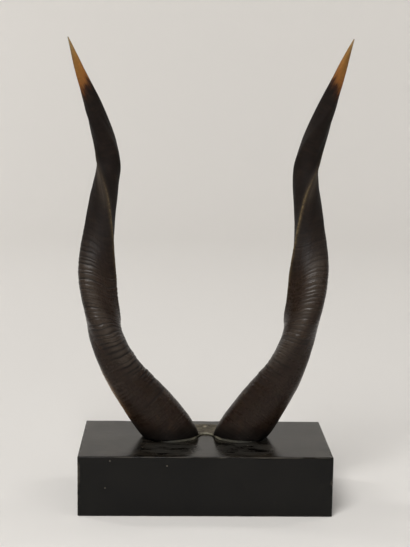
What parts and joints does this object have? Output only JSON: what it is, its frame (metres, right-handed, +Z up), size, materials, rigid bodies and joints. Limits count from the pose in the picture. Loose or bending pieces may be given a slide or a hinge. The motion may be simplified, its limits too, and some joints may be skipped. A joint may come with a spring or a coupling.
{
  "type": "mounted pair of antelope horns",
  "caption": "Pair of dark spiral antelope horns with pale tips, joined by a thin piece of skull and fixed upright on a black lacquered block.",
  "frame": {"origin": "middle of the face that the block stands on", "axes": "+Z up along the horns, -Y the front of the pair, +X towards the viewer's right when the front is seen"},
  "size_m": [0.371, 0.165, 0.6131],
  "materials": {
    "horn": "dark brown-black keratin, satin, ringed below and smooth above, with a translucent amber tip",
    "skull_bone": "dull cream-brown weathered bone, sawn at the edge",
    "black_lacquer": "black semi-gloss lacquer on wood, with a thin worn line along the front edge"
  },
  "bodies": {
    "root": {"block": "black_lacquer", "skull_plate": "skull_bone", "horn_left": "horn", "horn_right": "horn"}
  },
  "joints": []
}
